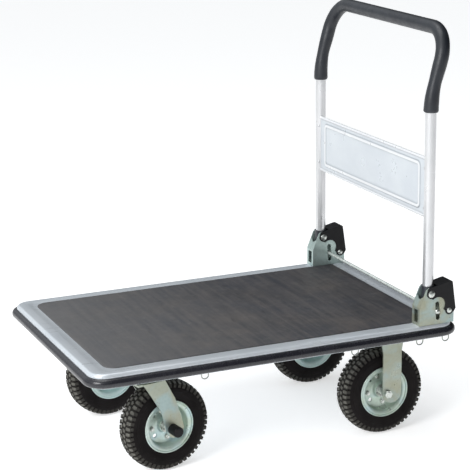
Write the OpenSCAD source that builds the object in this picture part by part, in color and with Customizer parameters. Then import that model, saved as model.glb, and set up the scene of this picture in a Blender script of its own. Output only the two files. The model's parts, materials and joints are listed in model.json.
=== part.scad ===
// Folding platform cart: pressed steel deck on two swivel and two fixed casters with
// pneumatic wheels, and a tubular push handle that folds forward onto the deck.
// +X is the handle end, -Y is the left side of a person pushing, +Z is up.
// The origin is on the floor, under the middle of the deck.

/* [Deck] */
// Deck length over the edge bumper
deck_l = 924; // [880:1:960]
// Deck width over the edge bumper
deck_w = 624; // [600:1:640]
// Height of the steel rim above the floor
deck_z = 286; // [284:0.5:292]
// Depth of the deck's side skirt
skirt_h = 33; // [28:0.5:33]
// Plan radius of the steel corners
corner_r = 38; // [30:1:50]
// How far the edge bumper stands out from the steel
bumper_t = 12; // [11:0.5:14]
// Thickness of the deck sheet
sheet_t = 1.5; // [1.2:0.1:2]
// Thickness of the mat
mat_t = 2; // [1.5:0.5:2.5]
// Length of the mat
mat_l = 813; // [780:1:813]
// Width of the mat
mat_w = 525; // [500:1:531]

/* [Handle] */
// Distance of the handle pivot in front of the deck's rear end
pivot_back = 79; // [78.5:0.5:80]
// Height of the handle pivot above the rim
pivot_up = 75; // [74.5:0.5:76]
// Spacing of the two handle tubes
leg_spacing = 561; // [560:0.5:561]
// Outer radius of the handle tube
tube_r = 12.7; // [12:0.1:12.8]
// Wall of the handle tube
tube_wall = 1.5; // [1.2:0.1:2]
// Height above the floor where the legs start to lean back
lean_z = 785; // [760:1:800]
// Lean of the top of the handle, as the sine of its angle
lean_sin = 0.28; // [0.28, 0.6]
// Radius of the bend into the lean
lean_r = 275; // [200:5:320]
// Length of the leaning top, from the end of the bend to the bar
lean_len = 113; // [100:1:125]
// Radius of the handle's upper corners
handle_r = 70; // [60:1:80]
// Outer radius of the foam grip
grip_r = 17; // [15.5:0.1:17.5]
// Height of the lower edge of the handle panel
panel_z = 540; // [520:1:560]
// Height of the handle panel
panel_h = 143; // [120:1:150]

/* [Casters] */
// Outer radius of the tyre
tyre_r = 106.6; // [104:0.2:107]
// Width of the tyre
tyre_w = 56; // [52:1:58]
// Radius of the rim flange
rim_r = 62.5; // [60:0.5:64]
// Distance of the wheels from the middle of the cart
track = 193; // [190:1:196]
// Position of the fixed axle behind the middle of the cart
fixed_x = 305; // [295:1:310]
// Position of the swivel axes ahead of the middle of the cart
swivel_x = 301; // [295:1:305]
// Distance of the front axles behind their swivel axes
trail = 55; // [50:1:57]
// Angle that both swivels are turned by at rest
swivel_turn = 8; // [0:1:20]

/* [Hidden] */
$fn = 64;

// Side of the cart, as the sign of Y
LEFT = -1;
RIGHT = 1;

// Steel outline inside the bumper, and the recess that holds the mat
steel_x = deck_l / 2 - bumper_t;
steel_y = deck_w / 2 - bumper_t;
edge_r = 8;
lip_w = 13.5;
recess_margin = 12;
recess_depth = 1.5;
step_w = 3;
recess_r = 20;
recess_x = mat_l / 2 + recess_margin;
recess_y = mat_w / 2 + recess_margin;
mat_corner_r = 28;
mat_z = deck_z - recess_depth;
under_z = mat_z - sheet_t;

// Hinge brackets
leg_y = leg_spacing / 2;
pivot_x = deck_l / 2 - pivot_back;
pivot_z = deck_z + pivot_up;
bracket_w = 35;
plate_t = 2.5;
bracket_front = -31;
bracket_rear = 61;
crease = [-30.4, 44];
web_top = [-20.6, 67.5];
slot_top = [16.4, 49.6];
slot_low = [18.6, 15.4];
slot_r = 5.4;
slot_tilt = atan((slot_low[0] - slot_top[0]) / (slot_top[1] - slot_low[1]));
saddle_r = 13.4;
window_w = 19;
pin_r = 4;
run_gap = 0.05;
cover_t = 2.5;
rivet_at = [48, 30];
rivet_r = 3;
bolt_r = 4;
bolt_dx = [-13, 43];

// Latch rod, its caps and the springs under it
rod_r = 4;
rod_up = 30;
rod_dx = slot_low[0] + (slot_top[0] - slot_low[0]) * (rod_up - slot_low[1])
    / (slot_top[1] - slot_low[1]);
spring_r = 4.4;
wire_r = 0.7;
spring_turns = 6;
peg_r = 3;

// Ferrule at the foot of each handle tube
ferrule_r = 14.6;
ferrule_low = 35;
ferrule_high = 92;
ferrule_floor = 2;

// Casters, measured from the axle
fork_in = 38;
fork_t = 4;
fork_out = fork_in + fork_t;
leg_half_w = 24.5;
fixed_leg_dx = 12.5;
swivel_leg_dx = 6.5;
axle_r = 6;
nut_h = 8;
nut_r = 10;
spacer_r = 9.5;
cap_r = 12.5;
cap_out = 72;
plate_z = deck_z - 43;
plate_h = 5;
plate_x = 104;
plate_y = 112;
bolt_x = 38;
bolt_y = 44;
crown_z = tyre_r * 2 + 7;
crown_t = 5;
crown_back = 29;
race_r = 30;
king_r = 6;

// Wheel sections, measured from the wheel's middle plane
rim_t = 2;
flange_z = 25;
bead_r = 50.5;
disc_r = 45;
bolt_circle = 33;
bearing_r = 16;
bearing_z = [4, 15];
tube_pipe_r = 17;

// ---------- helpers ----------

// A dome of radius r and height h, on the XY plane
module dome(r, h) {
    ball = (r * r + h * h) / (2 * h);
    intersection() {
        translate([0, 0, h - ball]) sphere(r = ball);
        cylinder(r = r + 1, h = h + 1);
    }
}

// A rounded rectangle, given by its half sizes
module round_rect(half_x, half_y, r) {
    square([2 * half_x, 2 * (half_y - r)], center = true);
    square([2 * (half_x - r), 2 * half_y], center = true);
    for (sx = [-1, 1], sy = [-1, 1])
        translate([sx * (half_x - r), sy * (half_y - r)]) circle(r = r);
}

// Sweeps a profile round a rounded rectangle. The profile's x is 0 at the outline and
// negative inside it, and its y is the height.
module around(half_x, half_y, r) {
    for (turn = [0, 90, 180, 270]) {
        sx = turn == 0 || turn == 270 ? 1 : -1;
        sy = turn < 180 ? 1 : -1;
        translate([sx * (half_x - r), sy * (half_y - r), 0])
            rotate([0, 0, turn])
                rotate_extrude(angle = 90) translate([r, 0]) children();
    }
    for (turn = [0, 180]) rotate([0, 0, turn]) {
        translate([half_x, half_y - r, 0])
            rotate([90, 0, 0]) linear_extrude(2 * (half_y - r)) children();
        translate([-(half_x - r), half_y, 0])
            rotate([90, 0, 90]) linear_extrude(2 * (half_x - r)) children();
    }
}

// Puts a piece drawn for the right side on the given side
module on_side(side) {
    if (side == RIGHT) children();
    else mirror([0, 1, 0]) children();
}

// A plate in the XZ plane, measured from the pivot's foot on the rim, from y0 to y1
module upright(y0, y1) {
    translate([pivot_x, y1, deck_z]) rotate([90, 0, 0]) linear_extrude(y1 - y0) children();
}

// A pin along Y through the bracket, measured from the pivot's foot on the rim
module cross_pin(dx, dz, y0, y1, r) {
    translate([pivot_x + dx, y0, deck_z + dz]) rotate([-90, 0, 0]) cylinder(r = r, h = y1 - y0);
}

// ---------- deck ----------

module panel_edge() {
    translate([-edge_r, deck_z - edge_r]) intersection() {
        difference() {
            circle(r = edge_r);
            circle(r = edge_r - sheet_t);
        }
        square(edge_r);
    }
    translate([-sheet_t, deck_z - skirt_h]) square([sheet_t, skirt_h - edge_r]);
    translate([-lip_w, deck_z - skirt_h]) square([lip_w, sheet_t]);
}

module deck_panel() color("lightsteelblue") difference() {
    union() {
        around(steel_x, steel_y, corner_r) panel_edge();
        translate([0, 0, deck_z - sheet_t]) linear_extrude(sheet_t) difference() {
            round_rect(steel_x - edge_r, steel_y - edge_r, corner_r - edge_r);
            round_rect(recess_x + step_w, recess_y + step_w, recess_r + step_w);
        }
        around(recess_x + step_w, recess_y + step_w, recess_r + step_w)
            polygon([[0, deck_z], [-step_w, mat_z], [-step_w, under_z], [0, deck_z - sheet_t]]);
        translate([0, 0, under_z]) linear_extrude(sheet_t)
            round_rect(recess_x, recess_y, recess_r);
    }
    for (side = [LEFT, RIGHT], dx = bolt_dx)
        translate([pivot_x + dx, side * leg_y, under_z - 1]) cylinder(r = bolt_r + run_gap, h = 6);
}

module deck_mat() color("dimgray") translate([0, 0, mat_z]) linear_extrude(mat_t) difference() {
    round_rect(mat_l / 2, mat_w / 2, mat_corner_r);
    for (side = [LEFT, RIGHT])
        translate([pivot_x + bracket_front - 3, side > 0 ? leg_y - bracket_w / 2 - 2 : -deck_w])
            square([deck_l, deck_w - (leg_y - bracket_w / 2 - 2)]);
}

module edge_bumper() color([0.13, 0.13, 0.15]) around(deck_l / 2, deck_w / 2, corner_r + bumper_t) {
    low = deck_z - skirt_h + 3;
    high = deck_z - edge_r - 1;
    nose_r = (high - low) / 2;
    translate([-bumper_t, low]) square([bumper_t - nose_r, high - low]);
    translate([-nose_r, low + nose_r]) intersection() {
        circle(r = nose_r);
        translate([0, -nose_r]) square([nose_r, 2 * nose_r]);
    }
}

channel_t = 2;
channel_half = 56;
channel_low = plate_z + plate_h;
channel_end = leg_y - 11;

module caster_channels() color("silver") for (x = [-swivel_x, fixed_x + fixed_leg_dx])
    translate([x, channel_end, 0]) rotate([90, 0, 0]) linear_extrude(2 * channel_end)
        difference() {
            union() {
                translate([-channel_half, channel_low])
                    square([2 * channel_half, under_z - channel_low]);
                translate([-channel_half - 16, under_z - channel_t])
                    square([2 * channel_half + 32, channel_t]);
            }
            translate([-channel_half + channel_t, channel_low + channel_t])
                square([2 * (channel_half - channel_t), under_z]);
        }

module deck_stiffeners() color("silver") {
    x0 = -swivel_x + channel_half + 18;
    x1 = fixed_x + fixed_leg_dx - channel_half - 18;
    for (y = [-110, 110]) translate([x0, y, 0]) rotate([90, 0, 90]) linear_extrude(x1 - x0)
        difference() {
            translate([-24, under_z - 22]) square([48, 22]);
            translate([-24 + channel_t, under_z - 22 + channel_t]) square([48 - 2 * channel_t, 22]);
        }
}

eye_x = [-187, 187, 357, 426];
eye_r = 8.5;
eye_wire = 1.5;
eye_drop = 5;

module lashing_eyes() color("silver") for (side = [LEFT, RIGHT], x = eye_x)
    translate([x, side * (steel_y - 7), deck_z - skirt_h]) {
        for (dx = [-eye_r, eye_r]) translate([dx, 0, -eye_drop]) cylinder(r = eye_wire, h = eye_drop);
        translate([0, 0, -eye_drop]) rotate([90, 0, 0]) rotate([0, 0, 180])
            rotate_extrude(angle = 180) translate([eye_r, 0]) circle(r = eye_wire);
    }

// ---------- hinge brackets ----------

module bracket_side() difference() {
    polygon([
        [bracket_front, 0], crease, [-13, 86], [-7, 89.5], [5, 89.5], [13, 86],
        [52, 60], [bracket_rear - 2, 46], [bracket_rear, 40], [bracket_rear, 0]
    ]);
    translate([0, pivot_up]) circle(r = pin_r);
    translate(rivet_at) circle(r = rivet_r);
    for (p = [slot_top, slot_low]) translate(p) circle(r = slot_r);
    translate(slot_low) rotate([0, 0, slot_tilt])
        translate([-slot_r, 0]) square([2 * slot_r, norm(slot_top - slot_low)]);
}

module bracket_web() polygon([
    [bracket_front, 0], crease, web_top, web_top + [plate_t + 0.3, 0],
    crease + [plate_t + 0.1, -0.6], [bracket_front + plate_t, 0]
]);

module hinge_bracket() color([0.78, 0.8, 0.76]) {
    y0 = leg_y - bracket_w / 2;
    y1 = leg_y + bracket_w / 2;
    upright(y0, y0 + plate_t) bracket_side();
    upright(y1 - plate_t, y1) bracket_side();
    difference() {
        upright(y0 + plate_t, y1 - plate_t) bracket_web();
        translate([pivot_x + bracket_front - 5, leg_y, pivot_z])
            rotate([0, 90, 0]) cylinder(r = saddle_r, h = 20);
        translate([pivot_x + bracket_front - 1, leg_y - window_w / 2, deck_z + 7])
            cube([plate_t + 3, window_w, 31]);
    }
    difference() {
        upright(y0 + plate_t, y1 - plate_t)
            translate([bracket_front + plate_t, 0]) square([bracket_rear - bracket_front - plate_t, plate_t]);
        for (dx = bolt_dx)
            translate([pivot_x + dx, leg_y, deck_z - 1]) cylinder(r = bolt_r, h = plate_t + 2);
    }
    translate([pivot_x + rod_dx + 0.5, leg_y, deck_z + plate_t]) cylinder(r = peg_r, h = 5);
}

module bracket_bolts() color("silver") for (side = [LEFT, RIGHT], dx = bolt_dx)
    translate([pivot_x + dx, side * leg_y, 0]) {
        translate([0, 0, under_z - 10]) cylinder(r = bolt_r, h = plate_t + deck_z - under_z + 10);
        translate([0, 0, deck_z + plate_t]) dome(7.5, 4.5);
        translate([0, 0, under_z - 6.5]) cylinder(r = 7.5, h = 6.5, $fn = 6);
    }

// Outline of the cover's cheek, in the same coordinates as the bracket
lobe_r = 11.5;
foot_r = 10;
cover_top = [[16, 94.7], [44, 100], [49.5, 98.4], [52.8, 94], [64, 40]];
module cover_cheek() difference() {
    union() {
        translate([0, pivot_up]) circle(r = lobe_r);
        translate(rivet_at) circle(r = foot_r);
        difference() {
            polygon(concat([[0, 64], [-11.4, 76], [-8.5, 89], [-2, 91.8]], cover_top,
                [[60, 26], rivet_at + [0, -foot_r], rivet_at + [-foot_r, 0]]));
            translate([17, 46]) circle(r = 20);
        }
    }
    translate([0, pivot_up]) circle(r = pin_r);
    translate(rivet_at) circle(r = rivet_r);
}

module cover_roof() polygon(concat(cover_top,
    [[61.5, 40], [50.3, 93.4], [48.4, 95.9], [43.7, 97.4], [16, 92.2]]));

module hinge_cover() color([0.07, 0.07, 0.08]) {
    y0 = leg_y - bracket_w / 2;
    y1 = leg_y + bracket_w / 2;
    upright(y0 - cover_t, y0) cover_cheek();
    upright(y1, y1 + cover_t) cover_cheek();
    upright(y0, y1) cover_roof();
}

module headed_pin(at, r, head_r, head_h) {
    y0 = leg_y - bracket_w / 2 - cover_t;
    y1 = leg_y + bracket_w / 2 + cover_t;
    cross_pin(at[0], at[1], y0, y1, r);
    translate([pivot_x + at[0], y1, deck_z + at[1]]) rotate([-90, 0, 0]) dome(head_r, head_h);
    translate([pivot_x + at[0], y0, deck_z + at[1]]) rotate([90, 0, 0]) dome(head_r, head_h);
}

module pivot_pins() color("silver") for (side = [LEFT, RIGHT])
    on_side(side) headed_pin([0, pivot_up], pin_r, 8.5, 3.5);

module cover_rivets() color("silver") for (side = [LEFT, RIGHT])
    on_side(side) headed_pin(rivet_at, rivet_r, 6.5, 3);

// ---------- handle ----------

// A pipe's section
module pipe_section(outer, inner) difference() {
    circle(r = outer, $fn = 48);
    circle(r = inner, $fn = 48);
}

lean_cos = sqrt(1 - lean_sin * lean_sin);
lean = asin(lean_sin);

// Frame at the end of the bend, with +Z along the leaning top
module at_lean() translate([pivot_x + lean_r * (1 - lean_cos), 0, lean_z + lean_r * lean_sin])
    rotate([0, lean, 0]) children();

// One half of the handle's path, from height z0 to the middle of the bar. The child is the
// section that follows it. The bend is swept too far and cut square, so that its end
// lies exactly in the plane of the leaning top.
module handle_half(z0) {
    translate([pivot_x, leg_y, z0]) linear_extrude(lean_z - z0) children();
    intersection() {
        translate([pivot_x + lean_r, leg_y, lean_z]) rotate([90, 0, 180])
            rotate_extrude(angle = lean + 4) translate([lean_r, 0]) children();
        at_lean() translate([-lean_r, 0, -2 * lean_r]) cube([2 * lean_r, deck_w, 2 * lean_r]);
    }
    at_lean() {
        translate([0, leg_y, 0]) linear_extrude(lean_len - handle_r) children();
        translate([0, leg_y - handle_r, lean_len - handle_r]) rotate([90, 0, 90])
            rotate_extrude(angle = 90) translate([handle_r, 0]) children();
        translate([0, 0, lean_len]) rotate([-90, 0, 0]) linear_extrude(leg_y - handle_r) children();
    }
}

module handle_tube() color("whitesmoke") difference() {
    union() for (side = [LEFT, RIGHT]) on_side(side)
        handle_half(deck_z + ferrule_low + ferrule_floor) pipe_section(tube_r, tube_r - tube_wall);
    for (side = [LEFT, RIGHT]) on_side(side)
        cross_pin(0, pivot_up, leg_y - 20, leg_y + 20, pin_r + run_gap);
}

// The foam sleeve is slid on by hand, so its left end sits a little higher than its right
grip_low = 777;
grip_shift = 11;

module handle_grip() color([0.12, 0.13, 0.15]) difference() {
    for (side = [LEFT, RIGHT]) on_side(side)
        handle_half(grip_low) pipe_section(grip_r, tube_r);
    translate([pivot_x - 2 * grip_r, -leg_y - 2 * grip_r, grip_low - 1])
        cube([4 * grip_r, 4 * grip_r, grip_shift + 1]);
}

module tube_ferrule() color([0.2, 0.21, 0.23]) difference() {
    translate([pivot_x, leg_y, deck_z + ferrule_low])
        cylinder(r = ferrule_r, h = ferrule_high - ferrule_low);
    translate([pivot_x, leg_y, deck_z + ferrule_low + ferrule_floor])
        cylinder(r = tube_r, h = ferrule_high);
    cross_pin(0, pivot_up, leg_y - 20, leg_y + 20, pin_r + run_gap);
}

panel_dx = -4.5;
hem_r = 3.5;
emboss_h = 2;

module handle_panel() color("gainsboro") difference() {
    y1 = leg_y - tube_r + 2;
    union() {
        translate([pivot_x + panel_dx - sheet_t / 2, -y1, panel_z + hem_r])
            cube([sheet_t, 2 * y1, panel_h - 2 * hem_r]);
        for (z = [panel_z + hem_r, panel_z + panel_h - hem_r])
            translate([pivot_x + panel_dx, -y1, z]) rotate([-90, 0, 0]) cylinder(r = hem_r, h = 2 * y1);
        translate([pivot_x + panel_dx - sheet_t / 2, 0, panel_z + panel_h / 2]) rotate([0, -90, 0])
            linear_extrude(emboss_h) difference() {
                round_rect(panel_h / 2 - 19, y1 - 26, 6);
                round_rect(panel_h / 2 - 23, y1 - 30, 4);
            }
    }
    for (side = [LEFT, RIGHT])
        translate([pivot_x, side * leg_y, panel_z - 5]) cylinder(r = tube_r, h = panel_h + 10);
}

// Each rivet's head is hollowed to sit on the tube
module panel_rivets() color("silver") for (side = [LEFT, RIGHT], dz = [23, panel_h - 26])
    on_side(side) translate([pivot_x, leg_y, panel_z + dz]) difference() {
        rotate([0, 0, 37]) rotate([0, -90, 0]) translate([0, 0, tube_r - 0.8]) dome(3.8, 2.6);
        cylinder(r = tube_r, h = 20, center = true);
    }

// ---------- latch ----------

module latch_rod() color("silver") for (side = [LEFT, RIGHT]) on_side(side)
    cross_pin(rod_dx, rod_up, 0, leg_y + bracket_w / 2 + 1.5, rod_r);

module rod_caps() color("white") for (side = [LEFT, RIGHT]) on_side(side)
    translate([pivot_x + rod_dx, leg_y + bracket_w / 2 + 0.3, deck_z + rod_up]) rotate([-90, 0, 0])
        difference() {
            dome(6.5, 4.2);
            cylinder(r = rod_r, h = 1.2);
        }

// A helical spring from height 0 to h, as one swept tube
module coil_spring(h) {
    sides = 6;
    per_turn = 12;
    rings = spring_turns * per_turn;
    points = [for (i = [0:rings], k = [0:sides - 1])
        let (a = 360 * i / per_turn, b = 360 * k / sides, r = spring_r + wire_r * cos(b))
        [r * cos(a), r * sin(a), wire_r + (h - 2 * wire_r) * i / rings + wire_r * sin(b)]];
    walls = [for (i = [0:rings - 1], k = [0:sides - 1])
        let (n = (k + 1) % sides)
        [i * sides + k, i * sides + n, (i + 1) * sides + n, (i + 1) * sides + k]];
    ends = [[for (k = [sides - 1:-1:0]) k], [for (k = [0:sides - 1]) rings * sides + k]];
    polyhedron(points, concat(walls, ends), convexity = 10);
}

module latch_springs() color("gray") for (side = [LEFT, RIGHT]) on_side(side)
    translate([pivot_x + rod_dx + 0.5, leg_y, deck_z + plate_t + 0.1])
        coil_spring(rod_up - rod_r - plate_t - 0.3);

// ---------- casters ----------

// Places a piece drawn round local Z on the axle of a wheel, with +Z pointing outward
module on_wheel(front, side) {
    if (front)
        translate([-swivel_x, side * track, 0]) rotate([0, 0, swivel_turn])
            translate([trail, 0, tyre_r]) rotate([-90 * side, 0, 0]) children();
    else
        translate([fixed_x, side * track, tyre_r]) rotate([-90 * side, 0, 0]) children();
}

// Places a piece drawn with its axle along Y, at the origin of height 0
module on_axle(front, side) {
    if (front)
        translate([-swivel_x, side * track, 0]) rotate([0, 0, swivel_turn])
            translate([trail, 0, 0]) children();
    else
        translate([fixed_x, side * track, 0]) children();
}

module both_walls(y0, y1) for (side = [LEFT, RIGHT])
    translate([0, side > 0 ? y1 : -y0, 0]) rotate([90, 0, 0]) linear_extrude(y1 - y0) children();

module fixed_leg() difference() {
    union() {
        translate([fixed_leg_dx, tyre_r]) circle(r = leg_half_w);
        translate([fixed_leg_dx - leg_half_w, tyre_r]) square([2 * leg_half_w, plate_z - tyre_r]);
        polygon([
            [fixed_leg_dx - leg_half_w, plate_z - 35], [fixed_leg_dx + leg_half_w, plate_z - 35],
            [fixed_leg_dx + leg_half_w + 6, plate_z], [fixed_leg_dx - leg_half_w - 6, plate_z]
        ]);
    }
    translate([0, tyre_r]) circle(r = axle_r);
}

module mounting_plate() translate([-plate_x / 2, -plate_y / 2, plate_z]) difference() {
    cube([plate_x, plate_y, plate_h]);
    for (x = [plate_x / 2 - bolt_x, plate_x / 2 + bolt_x], y = [plate_y / 2 - bolt_y, plate_y / 2 + bolt_y])
        translate([x, y, -1]) cylinder(r = bolt_r, h = plate_h + 2);
}

module fixed_fork(side) color([0.75, 0.78, 0.72]) on_axle(false, side) {
    both_walls(fork_in, fork_out) fixed_leg();
    translate([fixed_leg_dx, 0, 0]) mounting_plate();
}

// Axle bolt with its nut and the spacers beside the wheel, drawn round local Z
module axle_set() {
    translate([0, 0, -fork_out]) cylinder(r = axle_r, h = 2 * fork_out + nut_h + 2);
    translate([0, 0, -fork_out - nut_h]) cylinder(r = nut_r, h = nut_h, $fn = 6);
    difference() {
        translate([0, 0, fork_out]) cylinder(r = nut_r, h = nut_h, $fn = 6);
        translate([0, 0, fork_out]) cylinder(r = axle_r, h = nut_h);
    }
    for (z = [bearing_z[1] + 0.3, -fork_in]) difference() {
        translate([0, 0, z]) cylinder(r = spacer_r, h = fork_in - bearing_z[1] - 0.3);
        translate([0, 0, z]) cylinder(r = axle_r, h = fork_in);
    }
}

module fixed_axles() color("silver") for (side = [LEFT, RIGHT]) on_wheel(false, side) axle_set();

race_gap = 0.3;
race_z = crown_z + crown_t + 6;

module swivel_plates() color([0.75, 0.78, 0.72]) for (side = [LEFT, RIGHT])
    translate([-swivel_x, side * track, 0]) {
        difference() {
            mounting_plate();
            translate([0, 0, plate_z - 1]) cylinder(r = king_r, h = plate_h + 2);
        }
        difference() {
            translate([0, 0, race_z + race_gap]) cylinder(r = race_r + 4, h = plate_z - race_z - race_gap);
            translate([0, 0, race_z]) cylinder(r = king_r, h = plate_z);
        }
    }

module king_pins() color("silver") for (side = [LEFT, RIGHT]) translate([-swivel_x, side * track, 0]) {
    translate([0, 0, crown_z - 0.1]) cylinder(r = king_r, h = channel_low - crown_z + 0.1);
    translate([0, 0, crown_z - 7.1]) cylinder(r = 10, h = 7, $fn = 6);
}

module caster_bolts() color("silver")
    for (x0 = [-swivel_x, fixed_x + fixed_leg_dx], side = [LEFT, RIGHT], x = [-bolt_x, bolt_x], y = [-bolt_y, bolt_y])
        translate([x0 + x, side * track + y, 0]) {
            translate([0, 0, plate_z]) cylinder(r = bolt_r, h = plate_h);
            translate([0, 0, plate_z - 5.5]) cylinder(r = 7.5, h = 5.5, $fn = 6);
        }

module swivel_leg() difference() {
    union() {
        translate([swivel_leg_dx, tyre_r]) circle(r = leg_half_w - 2);
        polygon([
            [-trail - 17, crown_z + crown_t], [-trail + 39, crown_z + crown_t], [8, tyre_r + 72],
            [swivel_leg_dx + 21.6, tyre_r + 7], [swivel_leg_dx + 5, tyre_r - 20],
            [swivel_leg_dx - 20, tyre_r - 9], [-28, tyre_r + 46]
        ]);
    }
    translate([0, tyre_r]) circle(r = axle_r);
}

module swivel_fork(side) color([0.75, 0.78, 0.72]) on_axle(true, side) {
    both_walls(fork_in, fork_out) swivel_leg();
    difference() {
        translate([-trail - crown_back, -fork_in, crown_z])
            cube([crown_back + 39, 2 * fork_in, crown_t]);
        translate([-trail, 0, crown_z - 1]) cylinder(r = king_r + run_gap, h = crown_t + 2);
    }
}

module swivel_race(side) color("silver") translate([-swivel_x, side * track, crown_z + crown_t])
    difference() {
        union() {
            cylinder(r = race_r, h = 6);
            cylinder(r = race_r + 3, h = 2.5);
        }
        translate([0, 0, -1]) cylinder(r = king_r + run_gap, h = 10);
    }

module swivel_axle(side) color("silver") on_wheel(true, side) axle_set();

module axle_cap(side) color([0.1, 0.1, 0.11]) on_wheel(true, side) translate([0, 0, fork_out])
    difference() {
        union() {
            cylinder(r = cap_r, h = cap_out - fork_out - 2);
            cylinder(r = cap_r - 2, h = cap_out - fork_out);
        }
        translate([0, 0, -1]) cylinder(r = nut_r + 0.5, h = nut_h + 4);
    }

// ---------- wheels ----------

// Point of the tyre's rounded section at the angle a, drawn in by inset
tyre_mid = (tyre_r + bead_r + 2) / 2;
tyre_rise = (tyre_r - bead_r - 2) / 2;
function tyre_point(a, inset) = [
    tyre_mid + (tyre_rise - inset) * (abs(sin(a)) < 0.001 ? 0 : sign(sin(a)) * pow(abs(sin(a)), 0.75)),
    (tyre_w / 2 - inset) * (abs(cos(a)) < 0.001 ? 0 : sign(cos(a)) * pow(abs(cos(a)), 0.6))
];

module tyre(front, side) color([0.08, 0.08, 0.08]) on_wheel(front, side)
    rotate_extrude($fn = 96) difference() {
        polygon([for (i = [0:35]) tyre_point(i * 10, 0)]);
        polygon([for (i = [0:35]) tyre_point(i * 10, 6)]);
        translate([bead_r - 3, -tube_pipe_r]) square([14, 2 * tube_pipe_r]);
    }

module inner_tube(front, side) color([0.15, 0.15, 0.15]) on_wheel(front, side) {
    rotate_extrude($fn = 96) translate([tyre_mid, 0]) difference() {
        circle(r = tube_pipe_r, $fn = 32);
        circle(r = tube_pipe_r - 2, $fn = 32);
    }
    translate([disc_r + 7, 0, 9]) cylinder(r = 3, h = 13);
}

// Section of one rim half: flange, bead seat, dished barrel, disc and bearing cup
module rim_section() polygon([
    [7, 0], [disc_r - 1, 0], [disc_r + 2.5, 1.6], [bead_r - 3, 8], [bead_r - 1, 9], [bead_r, 22],
    [52, 24], [rim_r - 0.5, 25], [rim_r, 26], [rim_r - 0.5, 27.5], [rim_r - 2, 27.5], [rim_r - 2.5, 27],
    [51, 26], [bead_r - 2, 23.5], [bead_r - 3, 10], [disc_r + 0.5, 3.2], [disc_r - 2, rim_t],
    [21, rim_t], [18.5, 4], [18, 13], [bearing_r, 13], [bearing_r, bearing_z[0]], [7, 3.5]
]);

module rim_half() difference() {
    rotate_extrude($fn = 96) rim_section();
    for (a = [0, 90, 180, 270]) rotate([0, 0, a + 12]) {
        translate([bolt_circle, 0, -1]) cylinder(r = 3, h = rim_t + 2);
        rotate([0, 0, 45]) translate([bolt_circle + 2, 0, -1]) cylinder(r = 4.5, h = rim_t + 2);
    }
    translate([disc_r + 7, 0, 6]) cylinder(r = 4, h = 17);
}

module rim_outer(front, side) color([0.76, 0.8, 0.74]) on_wheel(front, side) rim_half();

module rim_inner(front, side) color([0.76, 0.8, 0.74]) on_wheel(front, side)
    mirror([0, 0, 1]) rim_half();

module rim_bolts(front, side) color("silver") on_wheel(front, side)
    for (a = [0, 90, 180, 270]) rotate([0, 0, a + 12]) translate([bolt_circle, 0, 0]) {
        translate([0, 0, -rim_t]) cylinder(r = 3, h = 2 * rim_t);
        translate([0, 0, rim_t]) cylinder(r = 5.8, h = 4.5, $fn = 6);
        translate([0, 0, -rim_t - 5]) cylinder(r = 5.8, h = 5, $fn = 6);
    }

module bearings(front, side) color("silver") on_wheel(front, side)
    for (flip = [0, 1]) mirror([0, 0, flip]) translate([0, 0, bearing_z[0]]) difference() {
        cylinder(r = bearing_r, h = bearing_z[1] - bearing_z[0]);
        translate([0, 0, -1]) cylinder(r = axle_r + run_gap, h = 20);
    }

// ---------- nodes ----------

deck_panel();
deck_mat();
edge_bumper();
caster_channels();
deck_stiffeners();
lashing_eyes();
on_side(LEFT) hinge_bracket();  // hinge_bracket_left
on_side(RIGHT) hinge_bracket();  // hinge_bracket_right
bracket_bolts();
on_side(LEFT) hinge_cover();  // hinge_cover_left
on_side(RIGHT) hinge_cover();  // hinge_cover_right
pivot_pins();
cover_rivets();
handle_tube();
handle_panel();
panel_rivets();
handle_grip();
on_side(LEFT) tube_ferrule();  // tube_ferrule_left
on_side(RIGHT) tube_ferrule();  // tube_ferrule_right
latch_rod();
rod_caps();
latch_springs();
fixed_fork(LEFT);  // fixed_fork_left
fixed_fork(RIGHT);  // fixed_fork_right
fixed_axles();
swivel_plates();
king_pins();
caster_bolts();
swivel_fork(LEFT);  // swivel_fork_left
swivel_race(LEFT);  // swivel_race_left
swivel_axle(LEFT);  // swivel_axle_left
axle_cap(LEFT);  // axle_cap_left
swivel_fork(RIGHT);  // swivel_fork_right
swivel_race(RIGHT);  // swivel_race_right
swivel_axle(RIGHT);  // swivel_axle_right
axle_cap(RIGHT);  // axle_cap_right
for (wheel = [["front_left", true, LEFT], ["front_right", true, RIGHT],
              ["rear_left", false, LEFT], ["rear_right", false, RIGHT]]) {
    tyre(wheel[1], wheel[2]);
    inner_tube(wheel[1], wheel[2]);
    rim_outer(wheel[1], wheel[2]);
    rim_inner(wheel[1], wheel[2]);
    rim_bolts(wheel[1], wheel[2]);
    bearings(wheel[1], wheel[2]);
}
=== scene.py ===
# %% [markdown]
# # A folding platform cart
#
# This lesson builds the looks of a folding platform cart round a finished mechanical model.
# That model, the frame, already holds every part at its real size and place, in
# metres: +X is the handle end, -Y is the left side of the person who pushes, +Z is up, and
# the floor is at 0. Blender adds what a mechanical model doesn't hold: rounded press edges,
# tyre tread, a moulded look, and finishes such as zinc plating, foam and worn rubber.

import json
import math
import random

import bmesh
import bpy
from mathutils import Matrix, Vector

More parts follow.
